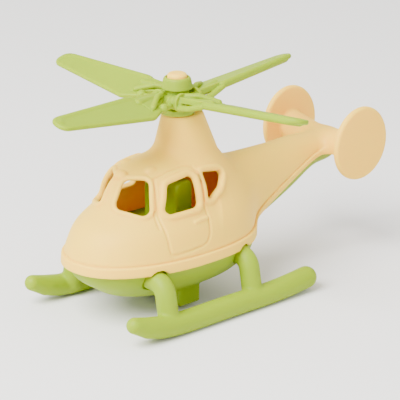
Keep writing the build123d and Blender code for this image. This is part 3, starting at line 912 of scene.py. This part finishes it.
HEAD_BOTTOM, HEAD_TOP = head_low[2], head_high[2]
COLLAR_RADIUS = 10.8
COLLAR_HALF = 1.9
CORE_RADIUS = 7.4
CORE_SHORT = 2.0                  # the core ends this far inside the head's top and bottom
DOME_HEIGHT = 7.6
DOME_FOOT_RADIUS = 9.8
DOME_TAPER = 1.6                  # how much narrower the dome is at its top
RECESS_RADIUS = 6.9               # of the hollow for the pin's cap
RECESS_DEPTH = 4.5
BORE_RADIUS = 4.1
PIN_RADIUS = 4.0
CAP_RADIUS = 6.2
CAP_HALF = 3.2


def about_rotor_axis(points):
    """Distance from the rotor's axis, and height."""
    return np.hypot(points[:, 0] - ROTOR[0], points[:, 1] - ROTOR[1]), points[:, 2]


def rotor_head(points):
    across, z = about_rotor_axis(points)
    middle, half = (HEAD_BOTTOM + HEAD_TOP) / 2, (HEAD_TOP - HEAD_BOTTOM) / 2
    collar = extruded(across - COLLAR_RADIUS, z - HEAD_BOTTOM - COLLAR_HALF, COLLAR_HALF, 0.8)
    core = np.maximum(across - CORE_RADIUS, np.abs(z - middle) - half + CORE_SHORT)
    dome_foot = HEAD_TOP - DOME_HEIGHT
    dome = across - DOME_FOOT_RADIUS + DOME_TAPER * (z - dome_foot) / DOME_HEIGHT
    dome = overlap(overlap(dome, z - HEAD_TOP, 2.2), dome_foot - z, 0.8)
    head = union(union(collar, core, 1.0), dome, 0.6)
    for index in range(len(BLADE_NAMES)):
        head = union(head, rotor_arm(points, index), 0.6)
    recess = extruded(across - RECESS_RADIUS, z - HEAD_TOP - 1, RECESS_DEPTH + 1, 0.3)
    return cut(cut(head, recess, 0.5), across - BORE_RADIUS)


def rotor_pin(points):
    across, z = about_rotor_axis(points)
    bottom, top = pin_low[2], pin_high[2]
    shaft = extruded(across - PIN_RADIUS, z - (bottom + top) / 2, (top - bottom) / 2 - 2, 0.4)
    cap = extruded(across - CAP_RADIUS, z - top + CAP_HALF, CAP_HALF, 2.4)
    return union(shaft, cap)


# ---- Materials -----------------------------------------------------------------------------------

def new_material(name):
    """A new material, with its nodes, its links and its shader."""
    material = bpy.data.materials.new(name)
    material.use_nodes = True
    nodes = material.node_tree.nodes
    return material, nodes, material.node_tree.links, nodes["Principled BSDF"]


def noise(nodes, scale, detail=2.0):
    pattern = nodes.new("ShaderNodeTexNoise")
    pattern.inputs["Scale"].default_value = scale
    pattern.inputs["Detail"].default_value = detail
    return pattern


def vary_colour(nodes, links, shader, pattern, one, other):
    """Lets the colour wander between two, as a pattern says."""
    tint = nodes.new("ShaderNodeMix")
    tint.data_type = "RGBA"
    tint.inputs[6].default_value = (*one, 1)
    tint.inputs[7].default_value = (*other, 1)
    links.new(pattern.outputs["Fac"], tint.inputs[0])
    links.new(tint.outputs[2], shader.inputs["Base Color"])


def vary_roughness(nodes, links, shader, pattern, least, most):
    rough = nodes.new("ShaderNodeMapRange")
    rough.inputs["To Min"].default_value = least
    rough.inputs["To Max"].default_value = most
    links.new(pattern.outputs["Fac"], rough.inputs["Value"])
    links.new(rough.outputs["Result"], shader.inputs["Roughness"])


def plastic(name, base, mottled):
    """Fine matte moulded plastic: faint flow marks in its colour, and a fine grain."""
    material, nodes, links, shader = new_material(name)
    shader.inputs["Specular IOR Level"].default_value = 0.2
    shader.inputs["Subsurface Weight"].default_value = 0.6
    shader.inputs["Subsurface Radius"].default_value = (0.01, 0.006, 0.003)
    shader.inputs["Subsurface Scale"].default_value = 0.5
    flow = noise(nodes, 28, 4)
    grain = noise(nodes, 1400, 3)
    place = nodes.new("ShaderNodeTexCoord")
    for pattern in (flow, grain):
        links.new(place.outputs["Object"], pattern.inputs["Vector"])
    vary_colour(nodes, links, shader, flow, base, mottled)
    vary_roughness(nodes, links, shader, flow, 0.44, 0.58)
    bump = nodes.new("ShaderNodeBump")
    bump.inputs["Strength"].default_value = 0.12
    bump.inputs["Distance"].default_value = 0.0002
    links.new(grain.outputs["Fac"], bump.inputs["Height"])
    links.new(bump.outputs["Normal"], shader.inputs["Normal"])
    return material


def steel(name):
    """Zinc-plated screw steel with fine turned marks."""
    material, nodes, links, shader = new_material(name)
    shader.inputs["Metallic"].default_value = 1.0
    marks = noise(nodes, 900)
    vary_colour(nodes, links, shader, marks, (0.52, 0.52, 0.54), (0.66, 0.66, 0.67))
    vary_roughness(nodes, links, shader, marks, 0.3, 0.45)
    return material


PLASTICS = {
    "cream_plastic": plastic("cream plastic", (0.98, 0.55, 0.048), (0.99, 0.575, 0.06)),
    "green_plastic": plastic("green plastic", (0.222, 0.325, 0.001), (0.255, 0.36, 0.003)),
}
SCREW_STEEL = steel("screw steel")


# ---- Pieces --------------------------------------------------------------------------------------

def build_piece(node, field, cell, slot, body, below=0, above=0, symmetric=False):
    """Meshes a field in the box of a CAD node, widened by below and above, to stand for that node."""
    low, high = corners_mm(node)
    made = moulding(node + "_skin", field, low - below, high + above, cell, symmetric)
    made.data.materials.clear()
    made.data.materials.append(PLASTICS[slot])
    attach(made, body)
    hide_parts(node)


def build_pieces():
    build_piece("upper_shell", upper_shell, SHELL_CELL, "cream_plastic", "fuselage", symmetric=True)
    build_piece("lower_shell", lower_shell, BODY_CELL, "green_plastic", "fuselage", symmetric=True)
    build_piece("cabin_deck", cabin_deck, BODY_CELL, "green_plastic", "fuselage", symmetric=True)
    build_piece("left_skid", left_skid, BODY_CELL, "green_plastic", "fuselage")
    build_piece("right_skid", right_skid, BODY_CELL, "green_plastic", "fuselage")
    build_piece("rotor_head", rotor_head, FINE_CELL, "green_plastic", "rotor", below=(0, 0, 2))
    for index, node in enumerate(BLADE_NAMES):
        build_piece(node, blade(index), FINE_CELL, "green_plastic", "rotor", below=2, above=2)
    build_piece("rotor_pin", rotor_pin, FINE_CELL, "cream_plastic", "fuselage")


def dress_screws():
    """The steel nodes keep their CAD shape."""
    for node in ("pin_washer", "pin_screw", "shell_screws", "skid_screws"):
        kept = frame["nodes"][node]
        kept.data.materials.clear()
        kept.data.materials.append(SCREW_STEEL)


# ---- Floor, light and camera ---------------------------------------------------------------------

FLOOR_HALF = 8.0
FLOOR_COLOUR = (0.83, 0.818, 0.797, 1)
LIGHT_AIM = (0, 0, 0.06)
WORLD_COLOUR = (1.0, 0.99, 0.97, 1)
WORLD_STRENGTH = 1.28


def studio_floor():
    half = FLOOR_HALF
    mesh = bpy.data.meshes.new("floor")
    corners = [(-half, -half, 0), (half, -half, 0), (half, half, 0), (-half, half, 0)]
    mesh.from_pydata(corners, [], [(0, 1, 2, 3)])
    floor = bpy.data.objects.new("floor", mesh)
    bpy.context.scene.collection.objects.link(floor)
    material, _, _, shader = new_material("floor")
    shader.inputs["Base Color"].default_value = FLOOR_COLOUR
    shader.inputs["Roughness"].default_value = 0.9
    shader.inputs["Specular IOR Level"].default_value = 0.1
    mesh.materials.append(material)


def area_light(name, place, size, power):
    """A round soft light that points at the toy."""
    data = bpy.data.lights.new(name, "AREA")
    data.shape = "DISK"
    data.size = size
    data.energy = power
    light = bpy.data.objects.new(name, data)
    light.location = place
    light.rotation_mode = "QUATERNION"
    light.rotation_quaternion = (Vector(LIGHT_AIM) - Vector(place)).to_track_quat("-Z", "Y")
    bpy.context.scene.collection.objects.link(light)


def lighting():
    world = bpy.data.worlds.new("studio")
    bpy.context.scene.world = world
    world.use_nodes = True
    background = world.node_tree.nodes["Background"]
    background.inputs["Color"].default_value = WORLD_COLOUR
    background.inputs["Strength"].default_value = WORLD_STRENGTH
    area_light("key", (0.2, -1.5, 1.7), size=1.6, power=160)
    area_light("fill", (1.8, 0.2, 1.2), size=2.0, power=7)


CAMERA_AZIMUTH = math.radians(47.46)
CAMERA_ELEVATION = math.radians(19.13)
CAMERA_PLACE = (1.0565, -0.9745, 0.5563)
CAMERA_LENS = 218.2


def camera():
    data = bpy.data.cameras.new("camera")
    data.lens = CAMERA_LENS
    data.sensor_width = 36
    made = bpy.data.objects.new("camera", data)
    back = Vector((
        math.sin(CAMERA_AZIMUTH) * math.cos(CAMERA_ELEVATION),
        -math.cos(CAMERA_AZIMUTH) * math.cos(CAMERA_ELEVATION),
        math.sin(CAMERA_ELEVATION),
    ))
    made.location = CAMERA_PLACE
    made.rotation_mode = "QUATERNION"
    made.rotation_quaternion = (-back).to_track_quat("-Z", "Y")
    data.clip_start, data.clip_end = 0.05, 50
    bpy.context.scene.collection.objects.link(made)
    bpy.context.scene.camera = made


build_pieces()
dress_screws()
studio_floor()
lighting()
camera()
